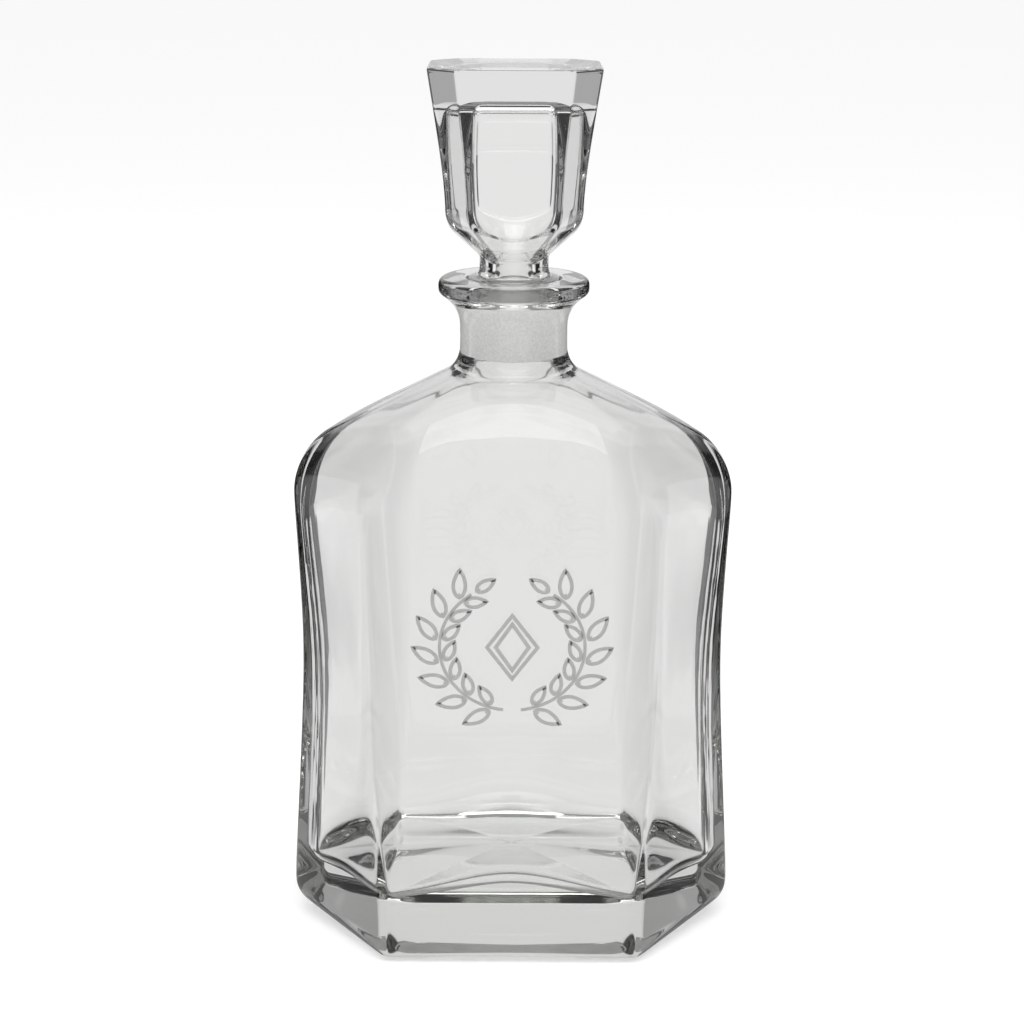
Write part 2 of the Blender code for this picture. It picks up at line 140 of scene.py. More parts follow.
def between(pair, share):
    return pair[0] + (pair[1] - pair[0]) * share


# A ring is one round of places, a skin is rings from its first hole to its last
def level(outline, height):
    return [(x, y, height) for x, y in outline]


def roundRing(outline, radius, height):
    # as a circle, with a place in the direction of each of the outline's
    return [(x / math.hypot(x, y) * radius, y / math.hypot(x, y) * radius, height)
            for x, y in outline]


def meridianRings(outline, profileOf):
    columns = []
    for x, y in outline:
        length = math.hypot(x, y)
        columns.append([(x / length * radius, y / length * radius, height)
                        for radius, height in profileOf(length)])
    return [list(ring) for ring in zip(*columns)]


# Building: a circle of edges is extruded ring by ring, and each new ring is laid in its place
startRadius = 0.01                     # until the circle is laid in its place
capInset = 0.0015
smoothLevels = 2


def lay(ring, places):
    for vertex, place in zip(ring, places):
        vertex.co = place


def loopEdges(bm, ring):
    return [bm.edges.get((ring[i], ring[(i + 1) % len(ring)])) for i in range(len(ring))]


def nextRing(bm, ring, places):
    made = bmesh.ops.extrude_edge_only(bm, edges=loopEdges(bm, ring))["geom"]
    fresh = {item for item in made if isinstance(item, bmesh.types.BMVert)}
    following = []
    for vertex in ring:
        following.append(next(edge.other_vert(vertex) for edge in vertex.link_edges
                              if edge.other_vert(vertex) in fresh))
    lay(following, places)
    return following, [item for item in made if isinstance(item, bmesh.types.BMFace)]


def finishedPiece(bm, name):
    mesh = bpy.data.meshes.new(name)
    bm.to_mesh(mesh)
    bm.free()
    piece = bpy.data.objects.new(name, mesh)
    bpy.context.scene.collection.objects.link(piece)
    return piece


def skin(name, rings, groundOf):
    bm = bmesh.new()
    first = bmesh.ops.create_circle(bm, segments=len(rings[0]), radius=startRadius)["verts"]
    lay(first, rings[0])
    ring = first
    for places in rings[1:]:
        ring, faces = nextRing(bm, ring, places)
        for face in faces:
            face.material_index = groundOf(face.calc_center_median())
    for loop in (first, ring):
        cap = bmesh.ops.contextual_create(bm, geom=loopEdges(bm, loop))["faces"]
        bmesh.ops.inset_region(bm, faces=cap, thickness=capInset, use_even_offset=True)
    bmesh.ops.recalc_face_normals(bm, faces=bm.faces)
    piece = finishedPiece(bm, name)
    piece.data.shade_smooth()
    smoothing = piece.modifiers.new("smoothSurface", "SUBSURF")
    smoothing.levels = smoothLevels
    smoothing.render_levels = smoothLevels
    return piece


# The ground joint, where the stopper's plug seats in the neck
joint = {
    "rimHeight": bottleHigh[2],
    "plugFoot": stopperLow[2],
    "plugTopWidth": 0.0248,
    "plugTaper": 0.08,
    "clearance": 0.0003,
    "boreGroundTop": 0.1787,
    "plugGroundTop": 0.1822,
}


def plugRadius(height):
    return joint["plugTopWidth"] / 2 - (joint["rimHeight"] - height) * joint["plugTaper"] / 2


def boreRadius(height):
    return plugRadius(height) + joint["clearance"]


# Bottle
bottle = {
    "footWidth": bottleHigh[0] - bottleLow[0],
    "waistWidth": 0.1167,
    "shoulderWidth": 0.1204,
    "depth": bottleHigh[1] - bottleLow[1],
    "surfaceInset": 0.00012,               # room for the etching inside the frame's box
    "frontPanelWidth": 0.071,
    "sidePanelWidth": 0.0066,
    "frontEdgeRounds": (0.0045, 0.020),    # at the foot, at the shoulder
    "frontEdgeSoftening": (0.006, 0.075),  # the heights between which they open
    "sideEdgeRounds": (0.003, 0.004),
    "waistHeight": 0.081,
    "waistEase": 0.0138,
    "neckFootHeight": 0.1603,
    "shoulderRise": 0.52,
    "shoulderRound": 0.020,
    "neckFootRound": 0.008,
    "heelRounds": (0.004, 0.0105),         # at the front, at the sides
    "heelSteps": 6,
    "standingRing": 0.0045,
    "standingShares": (1.0, 0.6, 0.06),    # where the flat ring's own rings lie
    "recessSlope": 0.008,
    "recessDepth": 0.0008,
    "recessProfile": ((1.4, 1.0), (1.0, 0.97), (0.5, 0.5)),  # shares of the slope and the depth
    "lipReach": 0.0058,
    "lipBand": 0.0041,
    "lipRise": 0.7,
    "lipNeckRound": 0.0098,
    "lipEdgeRound": 0.0016,
    "rimRound": 0.0018,
    "mouthRound": 0.0009,
    "boreSteps": 4,
    "sideWalls": (0.007, 0.0038),          # low on the body, at the shoulder
    "frontWalls": (0.0046, 0.0026),
    "thinningStart": 0.7,                  # the share of the waist's height where walls thin
    "neckWall": 0.0018,
    "floorHeight": 0.0168,
    "floorLift": 0.0026,                   # of the floor's edge, mid front and mid back
    "floorDome": 0.0012,
    "floorRoundHeights": (0.0036, 0.009),  # at the corners, at the panels' middles
    "floorRoundReaches": (0.005, 0.015),
    "cutPanelOpenness": 0.6,               # of the floor's round, against the front's
    "floorSteps": 8,
    "floorShares": (0.75, 0.45, 0.15),
    "cavitySideRounds": (0.012, 0.022),
    "cavityEdgeRound": 0.0015,
    "cavityRoundStart": 0.110,             # below this the cavity's side edges are crisper
    "cavityShoulderRound": 0.028,
    "throatRound": 0.005,
    "runSteps": (3, 7, 3, 2),
    "edgeSteps": 4,
    "wallSteps": 11,
}
b = bottle
neckRadius = joint["plugTopWidth"] / 2 + joint["clearance"] + b["neckWall"]
shoulderAngle = math.atan(b["shoulderRise"])
shoulderTurn = math.pi / 2 - shoulderAngle


def shoulderHeight(radius, wall=0.0):
    return (b["neckFootHeight"] - (radius - neckRadius) * b["shoulderRise"]
            - wall / math.cos(shoulderAngle))


def shoulderRoundAt(radius, wished):
    neckTangent = (neckRadius
                   + b["neckFootRound"] * math.tan(shoulderTurn / 2) * math.cos(shoulderAngle))
    room = (radius - neckTangent) * roundRoom
    return min(wished, room / (math.cos(shoulderAngle) * math.tan(shoulderTurn / 2)))


def wallTop(radius, wished, wall=0.0):
    # where the upright wall passes into the shoulder's round
    rise = shoulderRoundAt(radius, wished) * math.tan(shoulderTurn / 2)
    return shoulderHeight(radius, wall) - rise


shoulderStart = (shoulderHeight(b["shoulderWidth"] / 2)
                 - b["shoulderRound"] * math.tan(shoulderTurn / 2))
innerShoulder = b["shoulderWidth"] / 2 - b["sideWalls"][1]
cavityShoulderStart = (shoulderHeight(innerShoulder, b["frontWalls"][1])
                       - b["cavityShoulderRound"] * math.tan(shoulderTurn / 2))


def halfWidthAt(height):
    if height < b["waistHeight"]:
        reach = b["waistHeight"] - max(b["heelRounds"])
        gain = (b["footWidth"] - b["waistWidth"]) / 2
    else:
        reach = shoulderStart - b["waistHeight"]
        gain = (b["shoulderWidth"] - b["waistWidth"]) / 2
    along = min(abs(height - b["waistHeight"]), reach)
    ease = math.hypot(b["waistEase"], along) - b["waistEase"]
    return b["waistWidth"] / 2 + gain * ease / (math.hypot(b["waistEase"], reach) - b["waistEase"])


def heightShare(height):
    foot = max(b["heelRounds"])
    return eased((height - foot) / (shoulderStart - foot))


def frontRoundAt(height):
    start, end = b["frontEdgeSoftening"]
    return between(b["frontEdgeRounds"], eased((height - start) / (end - start)))


def bodyPlan(height):
    return halfWidthAt(height), b["depth"] / 2, b["frontPanelWidth"] / 2, b["sidePanelWidth"] / 2


def bodyOutline(height, inset=0.0):
    sideRound = between(b["sideEdgeRounds"], heightShare(height))
    return cutCornerOutline(insetPlan(bodyPlan(height), inset + b["surfaceInset"]),
                            frontRoundAt(height), sideRound, b["runSteps"], b["edgeSteps"])


def cavityOutline(height, inset=0.0):
    thinFrom = b["thinningStart"] * b["waistHeight"]
    thinning = eased((height - thinFrom) / (shoulderStart - thinFrom))
    roundFrom = b["cavityRoundStart"]
    rounding = eased((height - roundFrom) / (cavityShoulderStart - roundFrom))
    frontWall = between(b["frontWalls"], thinning)
    plan = wallPlan(bodyPlan(height), between(b["sideWalls"], thinning), frontWall)
    frontRound = max(frontRoundAt(height) - frontWall, b["cavityEdgeRound"])
    return cutCornerOutline(insetPlan(plan, inset), frontRound,
                            between(b["cavitySideRounds"], rounding), b["runSteps"], b["edgeSteps"])


def columnRings(outlineOf, bottoms, tops):
    rings = []
    for step in range(b["wallSteps"] + 1):
        ring = []
        for index, (bottom, top) in enumerate(zip(bottoms, tops)):
            height = bottom + (top - bottom) * step / b["wallSteps"]
            x, y = outlineOf(height)[index]
            ring.append((x, y, height))
        rings.append(ring)
    return rings


def heelRoundsAround():
    # the heel opens from the front corners to the sides
    front = b["frontPanelWidth"] / 2
    found = []
    for x, y in bodyOutline(b["heelRounds"][0]):
        past = max(abs(x) - front, 0.0) / (b["footWidth"] / 2 - front)
        found.append(between(b["heelRounds"], past))
    return found


def footRings(heels):
    def footRing(inset, height):
        # the inset is past the heel's round at each place
        return [(*bodyOutline(heel, heel + inset)[index], height)
                for index, heel in enumerate(heels)]

    rings = [footRing(b["standingRing"] + b["recessSlope"] * along, b["recessDepth"] * down)
             for along, down in b["recessProfile"]]
    rings += [footRing(b["standingRing"] * share, 0.0) for share in b["standingShares"]]
    for step in range(1, b["heelSteps"]):
        angle = math.pi / 2 * step / b["heelSteps"]
        ring = []
        for index, heel in enumerate(heels):
            x, y = bodyOutline(heel, heel * (1 - math.sin(angle)))[index]
            ring.append((x, y, heel * (1 - math.cos(angle))))
        rings.append(ring)
    return rings


def shoulderProfile(radius):
    # from the wall over the shoulder, up the neck, round the lip and into the mouth
    lipRadius = neckRadius + b["lipReach"]
    bandFoot = joint["rimHeight"] - b["lipBand"]
    flareFoot = bandFoot - b["lipReach"] * b["lipRise"]
    return roundedPath([
        (radius, 0.0, 0.0, 0),
        (radius, shoulderHeight(radius), shoulderRoundAt(radius, b["shoulderRound"]), 7),
        (neckRadius, b["neckFootHeight"], b["neckFootRound"], 6),
        (neckRadius, flareFoot, b["lipNeckRound"], 6),
        (lipRadius, bandFoot, b["lipEdgeRound"], 3),
        (lipRadius, joint["rimHeight"], b["rimRound"], 4),
        (boreRadius(joint["rimHeight"]), joint["rimHeight"], b["mouthRound"], 3),
        (boreRadius(0.0), 0.0, 0.0, 0),
    ])[2:-1]


def cavityProfile(radius):
    # from the bore through the throat, under the shoulder and down to the wall
    wall = b["frontWalls"][1]
    throat = shoulderHeight(neckRadius - b["neckWall"], wall)
    return roundedPath([
        (boreRadius(joint["rimHeight"]), joint["rimHeight"], 0.0, 0),
        (boreRadius(throat), throat, b["throatRound"], 5),
        (radius, shoulderHeight(radius, wall),
         shoulderRoundAt(radius, b["cavityShoulderRound"]), 7),
        (radius, 0.0, 0.0, 0),
    ])[1:-2]


def floorEdgesAround():
    # widest and highest in the middle of the front and back, tight in the corners
    outline = cavityOutline(b["floorHeight"] + between(b["floorRoundHeights"], 0.5))
    width = max(x for x, y in outline)
    front = b["frontPanelWidth"] / 2
    found = []
    for x, y in outline:
        if abs(x) < front:
            openness = 1 - eased(abs(x) / front)
            lift = b["floorLift"] * openness
        else:
            fromMiddle = abs((abs(x) - front) / (width - front) * 2 - 1)
            openness = b["cutPanelOpenness"] * (1 - fromMiddle)
            lift = 0.0
        found.append((b["floorHeight"] + lift, between(b["floorRoundHeights"], openness),
                      between(b["floorRoundReaches"], openness)))
    return found


def floorRings(floorEdges):
    rings = []
    for step in range(1, b["floorSteps"] + 1):
        angle = math.pi / 2 * step / b["floorSteps"]
        ring = []
        for index, (edgeHeight, roundHeight, reach) in enumerate(floorEdges):
            inset = reach * (1 - math.cos(angle))
            x, y = cavityOutline(edgeHeight + roundHeight, inset)[index]
            ring.append((x, y, edgeHeight + roundHeight * (1 - math.sin(angle))))
        rings.append(ring)
    edge = rings[-1]
    middle = b["floorHeight"] + b["floorLift"] + b["floorDome"]
    for share in b["floorShares"]:
        rings.append([(x * share, y * share, middle + (height - middle) * share * share)
                      for x, y, height in edge])
    return rings


def bottleRings():
    # from the recess under the foot, up outside and over the rim, and down inside to the floor
    heels = heelRoundsAround()
    plan = bodyOutline(shoulderStart)
    tops = [wallTop(math.hypot(x, y), b["shoulderRound"]) for x, y in plan]
    rings = footRings(heels) + columnRings(bodyOutline, heels, tops)
    rings += meridianRings(plan, shoulderProfile)
    groundTop, groundFoot = joint["boreGroundTop"], joint["plugFoot"]
    for step in range(b["boreSteps"] + 1):
        height = groundTop + (groundFoot - groundTop) * step / b["boreSteps"]
        rings.append(roundRing(plan, boreRadius(height), height))
    plan = cavityOutline(cavityShoulderStart)
    rings += meridianRings(plan, cavityProfile)
    floorEdges = floorEdgesAround()
    bottoms = [edgeHeight + roundHeight for edgeHeight, roundHeight, reach in floorEdges]
    tops = [wallTop(math.hypot(x, y), b["cavityShoulderRound"], b["frontWalls"][1])
            for x, y in plan]
    rings += reversed(columnRings(cavityOutline, bottoms, tops))
    return rings + floorRings(floorEdges)


def bottleGround(centre):
    # the bore is ground where the plug seats
    inBore = math.hypot(centre.x, centre.y) < neckRadius - b["neckWall"] * 0.5
    return 1 if inBore and joint["plugFoot"] < centre.z < joint["boreGroundTop"] else 0


# Stopper
stopper = {
    "top": stopperHigh[2],
    "topWidth": 0.0458,
    "topDepth": 0.042,
    "lowWidth": 0.0364,
    "lowDepth": 0.0336,
    "cutShare": 0.165,
    "edgeRound": 0.0015,
    "sideEdgeRound": 0.003,
    "uprightHeight": 0.012,                # from the lower corner to where the flare starts
    "uprightEase": 0.005,
    "topEdgeRound": 0.0006,
    "topEdgeSteps": 3,
    "topEdgeLead": 0.0012,
    "undersideRise": 0.916,
    "undersideRound": 0.007,
    "stemWidth": 0.0186,
    "stemHeight": 0.0058,
    "stemTopRound": 0.002,
    "stemFootRound": 0.0035,
    "plugEdgeRound": 0.0008,
    "topThickness": 0.0079,
    "wall": 0.0027,
    "upperWall": 0.0056,
    "hollowCutShare": 0.17,                # the hollow has its own, larger cut corners
    "hollowEdgeRound": 0.0016,
    "roofDrop": 0.0034,
    "roofReach": 0.0072,
    "roofSteps": 6,
    "stemBoreWidth": 0.0104,
    "stemBoreRound": 0.004,
    "plugWall": 0.0028,
    "runSteps": (3, 6, 3, 5),
    "edgeSteps": 2,
}
s = stopper
stemTop = joint["rimHeight"] + s["stemHeight"]
lowCorner = stemTop + (s["lowWidth"] - s["stemWidth"]) / 2 * s["undersideRise"]
uprightTop = lowCorner + s["uprightHeight"]
hollowTop = s["top"] - s["topThickness"]


def undersideHeight(radius):
    return stemTop + (radius - s["stemWidth"] / 2) * s["undersideRise"]


def headSize(height):
    share = min(max((height - uprightTop) / (s["top"] - uprightTop), 0.0), 1.0)
    return (between((s["lowWidth"], s["topWidth"]), share),
            between((s["lowDepth"], s["topDepth"]), share))


def stopperOutline(height, inset=0.0):
    width, depth = headSize(height)
    cut = width * s["cutShare"]
    plan = insetPlan((width / 2, depth / 2, width / 2 - cut, depth / 2 - cut), inset)
    return cutCornerOutline(plan, s["edgeRound"], s["sideEdgeRound"], s["runSteps"], s["edgeSteps"])


def hollowOutline(height, wall, inset=0.0):
    width, depth = (size / 2 - wall for size in headSize(height))
    cut = width * 2 * s["hollowCutShare"]
    plan = insetPlan((width, depth, width - cut, depth - cut), inset)
    return cutCornerOutline(plan, s["hollowEdgeRound"], s["hollowEdgeRound"], s["runSteps"],
                            s["edgeSteps"])


def hollowProfile(radius):
    # from the open foot of the plug up through the stem and out under the head
    foot = joint["plugFoot"]
    plugBore = plugRadius(foot) - s["plugWall"]
    neckIn = joint["rimHeight"] - s["plugWall"]
    bore = s["stemBoreWidth"] / 2
    lift = s["wall"] / math.cos(math.atan(s["undersideRise"]))
    return roundedPath([
        (plugBore + s["plugEdgeRound"], foot, 0.0, 0),
        (plugBore, foot + s["plugEdgeRound"], 0.0, 0),
        (plugBore, (foot + neckIn) / 2, 0.0, 0),
        (plugBore, neckIn, s["stemBoreRound"], 5),
        (bore, neckIn + plugBore - bore, s["stemBoreRound"], 4),
        (bore, undersideHeight(bore) + lift, s["stemBoreRound"], 4),
        (radius, undersideHeight(radius) + lift, s["undersideRound"], 5),
        (radius, s["top"], 0.0, 0),
    ])[:-1]


def plugProfile(radius):
    # from the foot of the plug up outside, over the stem and out under the head
    foot, ground, rim = joint["plugFoot"], joint["plugGroundTop"], joint["rimHeight"]
    return roundedPath([
        (0.0, foot, 0.0, 0),
        (plugRadius(foot), foot, s["plugEdgeRound"], 3),
        (plugRadius(ground), ground, 0.0, 0),
        (plugRadius(rim), rim, s["plugEdgeRound"], 3),
        (s["stemWidth"] / 2, rim, s["stemFootRound"], 5),
        (s["stemWidth"] / 2, stemTop, s["stemTopRound"], 3),
        (radius, undersideHeight(radius), s["undersideRound"], 5),
        (radius, s["top"], 0.0, 0),
    ])[1:-1]


def stopperRings():
    # from the hollow's roof down inside, round the plug's foot, and up outside to the top
    flareEnds = [uprightTop - s["uprightEase"], uprightTop + s["uprightEase"]]
    hollow = meridianRings(hollowOutline(lowCorner, s["wall"]), hollowProfile)
    hollow += [level(hollowOutline(height, s["wall"]), height) for height in flareEnds]
    roofFoot = hollowTop - s["roofDrop"]
    for step in range(s["roofSteps"] + 1):
        angle = math.pi / 2 * step / s["roofSteps"]
        height = hollowTop - s["roofDrop"] * (1 - math.sin(angle))
        inset = s["roofReach"] * (1 - math.cos(angle))
        hollow.append(level(hollowOutline(roofFoot, s["upperWall"], inset), height))

    rings = list(reversed(hollow)) + meridianRings(stopperOutline(lowCorner), plugProfile)
    edgeFoot = s["top"] - s["topEdgeRound"]
    for height in flareEnds + [edgeFoot - s["topEdgeLead"]]:
        rings.append(level(stopperOutline(height), height))
    for step in range(s["topEdgeSteps"] + 1):
        angle = math.pi / 2 * step / s["topEdgeSteps"]
        inset = s["topEdgeRound"] * (1 - math.cos(angle))
        height = edgeFoot + s["topEdgeRound"] * math.sin(angle)
        rings.append(level(stopperOutline(edgeFoot, inset), height))
    return rings


def stopperGround(centre):
    outside = plugRadius(joint["plugFoot"]) - s["plugWall"] * 0.5
    onPlug = math.hypot(centre.x, centre.y) > outside
    return 1 if onPlug and centre.z < joint["plugGroundTop"] else 0


# Finishes
finishes = {
    "polished": {
        "tint": (0.992, 0.994, 0.988),
        "clearness": 1.0,
        "roughness": (0.0, 0.01),
        "roughnessScale": 60.0,
        "bumpScale": 45.0,
        "bumpHeight": 0.00005,
    },
    "ground": {
        "tint": (0.99, 0.99, 0.98),
        "clearness": 0.15,
        "roughness": (0.35, 0.55),
        "roughnessScale": 900.0,
        "bumpScale": 2600.0,
        "bumpHeight": 0.00018,
    },
    "etched": {
        "tint": (0.62, 0.62, 0.61),
        "clearness": 0.5,
        "roughness": (0.40, 0.60),
        "roughnessScale": 900.0,
        "bumpScale": 2600.0,
        "bumpHeight": 0.00010,
    },
}
glassBody = {
    "refraction": 1.5,
    "colour": (0.50, 0.52, 0.47),          # what a thick run of the glass turns to
    "density": 6.0,
    "stopperDensity": 1.5,
    "groundGrain": 0.88,                   # how dark the grain of the ground glass gets
    "groundGrainScale": 1500.0,
    "groundGrainDetail": 3.0,
    "groundGrainSpread": (0.35, 0.65),
    "sideWave": 0.0002,
    "sideWaveScale": 350.0,
    "sideWaveStretch": 0.25,
    "sideWaveReach": (0.045, 0.051),       # from the middle, where the wave sets in
    "sideWaveFacing": (0.80, 0.97),        # how far a face has to look sideways
    "sideWaveTop": (0.108, 0.122),
}


def noise(tree, coordinates, scale, detail=2.0):
    texture = tree.nodes.new("ShaderNodeTexNoise")
    texture.inputs["Scale"].default_value = scale
    texture.inputs["Detail"].default_value = detail
    tree.links.new(coordinates, texture.inputs["Vector"])
    return texture.outputs["Fac"]


def mathNode(tree, operation, first, second=None):
    node = tree.nodes.new("ShaderNodeMath")
    node.operation = operation
    for socket, value in zip(node.inputs, (first, second)):
        if value is None:
            continue
        if isinstance(value, (int, float)):
            socket.default_value = value
        else:
            tree.links.new(value, socket)
    return node.outputs[0]


def ramp(tree, value, source, target=(0.0, 1.0)):
    node = tree.nodes.new("ShaderNodeMapRange")
    node.interpolation_type = "SMOOTHSTEP"
    for name, number in zip(("From Min", "From Max", "To Min", "To Max"), (*source, *target)):
        node.inputs[name].default_value = number
    tree.links.new(value, node.inputs["Value"])
    return node.outputs["Result"]


def objectPlace(tree):
    return tree.nodes.new("ShaderNodeTexCoord").outputs["Object"]


def separated(tree, vector):
    node = tree.nodes.new("ShaderNodeSeparateXYZ")
    tree.links.new(vector, node.inputs[0])
    return node.outputs


def glassFinish(name, finish):
    material = bpy.data.materials.new(name)
    material.use_nodes = True
    tree = material.node_tree
    shader = tree.nodes["Principled BSDF"]
    shader.inputs["Base Color"].default_value = (*finish["tint"], 1.0)
    shader.inputs["Transmission Weight"].default_value = finish["clearness"]
    shader.inputs["IOR"].default_value = glassBody["refraction"]
    place = objectPlace(tree)
    spread = tree.nodes.new("ShaderNodeMapRange")
    spread.inputs["To Min"].default_value = finish["roughness"][0]
    spread.inputs["To Max"].default_value = finish["roughness"][1]
    tree.links.new(noise(tree, place, finish["roughnessScale"]), spread.inputs["Value"])
    tree.links.new(spread.outputs["Result"], shader.inputs["Roughness"])
    bump = tree.nodes.new("ShaderNodeBump")
    bump.inputs["Strength"].default_value = 1.0
    bump.inputs["Distance"].default_value = finish["bumpHeight"]
    tree.links.new(noise(tree, place, finish["bumpScale"]), bump.inputs["Height"])
    tree.links.new(bump.outputs["Normal"], shader.inputs["Normal"])
    return material


def thickGlass(material, density):
    tree = material.node_tree
    depth = tree.nodes.new("ShaderNodeVolumeAbsorption")
    depth.inputs["Color"].default_value = (*glassBody["colour"], 1.0)
    depth.inputs["Density"].default_value = density
    tree.links.new(depth.outputs[0], tree.nodes["Material Output"].inputs["Volume"])


def grained(material):
    # the grinding leaves a fine grain in the white
    tree = material.node_tree
    shader = tree.nodes["Principled BSDF"]
    tint = shader.inputs["Base Color"].default_value[:3]
    place = objectPlace(tree)
    mixed = tree.nodes.new("ShaderNodeMix")
    mixed.data_type = "RGBA"
    mixed.inputs["A"].default_value = (*(part * glassBody["groundGrain"] for part in tint), 1.0)
    mixed.inputs["B"].default_value = (*tint, 1.0)
    grain = noise(tree, place, glassBody["groundGrainScale"], glassBody["groundGrainDetail"])
    tree.links.new(ramp(tree, grain, glassBody["groundGrainSpread"]), mixed.inputs["Factor"])
    tree.links.new(mixed.outputs["Result"], shader.inputs["Base Color"])


def wavySides(material):
    # pressed glass is uneven where the mould's halves meet, down both narrow sides
    tree = material.node_tree
    place = tree.nodes.new("ShaderNodeTexCoord")
    across, _, up = separated(tree, place.outputs["Object"])
    facing = separated(tree, place.outputs["Normal"])[0]
    outward = ramp(tree, mathNode(tree, "ABSOLUTE", across), glassBody["sideWaveReach"])
    sideways = ramp(tree, mathNode(tree, "ABSOLUTE", facing), glassBody["sideWaveFacing"])
    below = ramp(tree, up, glassBody["sideWaveTop"], (1.0, 0.0))
    wave = tree.nodes.new("ShaderNodeBump")
    wave.inputs["Distance"].default_value = glassBody["sideWave"]
    onSides = mathNode(tree, "MULTIPLY", outward, sideways)
    tree.links.new(mathNode(tree, "MULTIPLY", onSides, below), wave.inputs["Strength"])
    stretch = tree.nodes.new("ShaderNodeMapping")
    stretch.inputs["Scale"].default_value = (1.0, 1.0, glassBody["sideWaveStretch"])
    tree.links.new(place.outputs["Object"], stretch.inputs["Vector"])
    tree.links.new(noise(tree, stretch.outputs[0], glassBody["sideWaveScale"], 1.0),
                   wave.inputs["Height"])
    fine = tree.nodes["Principled BSDF"].inputs["Normal"].links[0].from_node
    tree.links.new(wave.outputs["Normal"], fine.inputs["Normal"])


clearGlass = glassFinish("clearGlass", finishes["polished"])
stopperGlass = glassFinish("stopperGlass", finishes["polished"])
groundGlass = glassFinish("groundGlass", finishes["ground"])
etchedGlass = glassFinish("etchedGlass", finishes["etched"])
thickGlass(clearGlass, glassBody["density"])
thickGlass(stopperGlass, glassBody["stopperDensity"])
thickGlass(groundGlass, glassBody["stopperDensity"])
grained(groundGlass)
wavySides(clearGlass)
print("finishes ready")

bottlePiece = skin("clear_bottle", bottleRings(), bottleGround)
bottlePiece.data.materials.append(clearGlass)
bottlePiece.data.materials.append(groundGlass)
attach(bottlePiece, "bottle")
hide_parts("bottle")
print("bottle built")

stopperPiece = skin("clear_stopper", stopperRings(), stopperGround)
stopperPiece.data.materials.append(stopperGlass)
stopperPiece.data.materials.append(groundGlass)
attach(stopperPiece, "stopper")
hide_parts("stopper")
print("stopper built")

# Etching: a generic wreath of leaves open at the top, round a lozenge
wreath = {
    "centreHeight": 0.0914,
    "radius": (0.0192, 0.0176),            # across, up
    "gapAngle": math.radians(34),          # half of the opening at the top
    "footAngle": math.radians(7),
    "leaves": 7,                           # on each side of a branch
    "firstLeaf": 0.35,                     # where the first one stands, in leaf spaces
    "outerLeaf": (0.0088, 0.0042),         # length, width
    "innerLeaf": (0.0068, 0.0036),
    "leafTurn": math.radians(42),
    "leafStart": 0.0011,
    "leafSteps": 14,
    "leafBelly": 0.8,                      # under 1 the widest place moves towards the foot
    "leafFullness": 0.75,                  # under 1 the sides fill out
    "tipLine": 1.9,                        # the line's width at a leaf's pointed ends, in lines
    "line": 0.0010,
    "stem": 0.0009,
    "stemSteps": 40,
    "lozenge": (0.0050, 0.0073),
    "lozengeGap": 0.0023,
    "lozengeLine": 1.25,
    "lozengeSteps": 4,
    "depth": 0.00005,
    "front": -0.00003,                     # from the frame's box
}
w = wreath


def outlineRing(bm, outer, inner):
    ring = bmesh.ops.create_circle(bm, segments=len(outer), radius=startRadius)["verts"]
    lay(ring, [(x, 0.0, z) for x, z in outer])
    nextRing(bm, ring, [(x, 0.0, z) for x, z in inner])


def leafPath(length, width):
    # a pointed oval from its foot at 0 to its tip
    rise = []
    for step in range(w["leafSteps"] + 1):
        share = step / w["leafSteps"]
        height = width / 2 * math.sin(math.pi * share ** w["leafBelly"]) ** w["leafFullness"]
        rise.append((length * share, height))
    return rise + [(x, -y) for x, y in reversed(rise[1:-1])]


def insetPath(points, inset):
    moved = []
    count = len(points)
    for index, (x, y) in enumerate(points):
        beforeX, beforeY = points[index - 1]
        afterX, afterY = points[(index + 1) % count]
        alongX, alongY = afterX - beforeX, afterY - beforeY
        length = math.hypot(alongX, alongY)
        moved.append((x + alongY / length * inset, y - alongX / length * inset))
    return moved


def placed(points, x, z, angle):
    cos, sin = math.cos(angle), math.sin(angle)
    return [(x + px * cos - py * sin, z + px * sin + py * cos) for px, py in points]


def leafRing(bm, size, x, z, angle):
    outer = leafPath(*size)
    inner = insetPath(outer, w["line"])
    # the pointed ends keep their length inside the line
    tip = len(outer) // 2
    inner[0] = (outer[0][0] + w["line"] * w["tipLine"], 0.0)
    inner[tip] = (outer[tip][0] - w["line"] * w["tipLine"], 0.0)
    x += w["leafStart"] * math.cos(angle)
    z += w["leafStart"] * math.sin(angle)
    outlineRing(bm, placed(outer, x, z, angle), placed(inner, x, z, angle))


def branchPlace(side, share):
    run = math.pi - w["gapAngle"] - w["footAngle"]
    angle = -math.pi / 2 + side * (w["footAngle"] + run * share)
    x = w["radius"][0] * math.cos(angle)
    z = w["centreHeight"] + w["radius"][1] * math.sin(angle)
    return x, z, angle + side * math.pi / 2


def addBranch(bm, side):
    for leaf in range(w["leaves"]):
        x, z, heading = branchPlace(side, (leaf + w["firstLeaf"]) / w["leaves"])
        for turn, size in ((-side, w["outerLeaf"]), (side, w["innerLeaf"])):
            leafRing(bm, size, x, z, heading + turn * w["leafTurn"])
    x, z, heading = branchPlace(side, 1.0)
    leafRing(bm, w["innerLeaf"], x, z, heading)
    steps = w["stemSteps"]
    edges = []
    for offset in (-0.5, 0.5):
        run = []
        for step in range(steps + 1):
            x, z, heading = branchPlace(side, step / steps)
            run.append((x - math.sin(heading) * offset * w["stem"],
                        z + math.cos(heading) * offset * w["stem"]))
        edges.append(run)
    strip = bmesh.ops.create_grid(bm, x_segments=steps, y_segments=1, size=0.5)["verts"]
    for vertex in strip:
        x, z = edges[0 if vertex.co.y < 0 else 1][round((vertex.co.x + 0.5) * steps)]
        vertex.co = (x, 0.0, z)


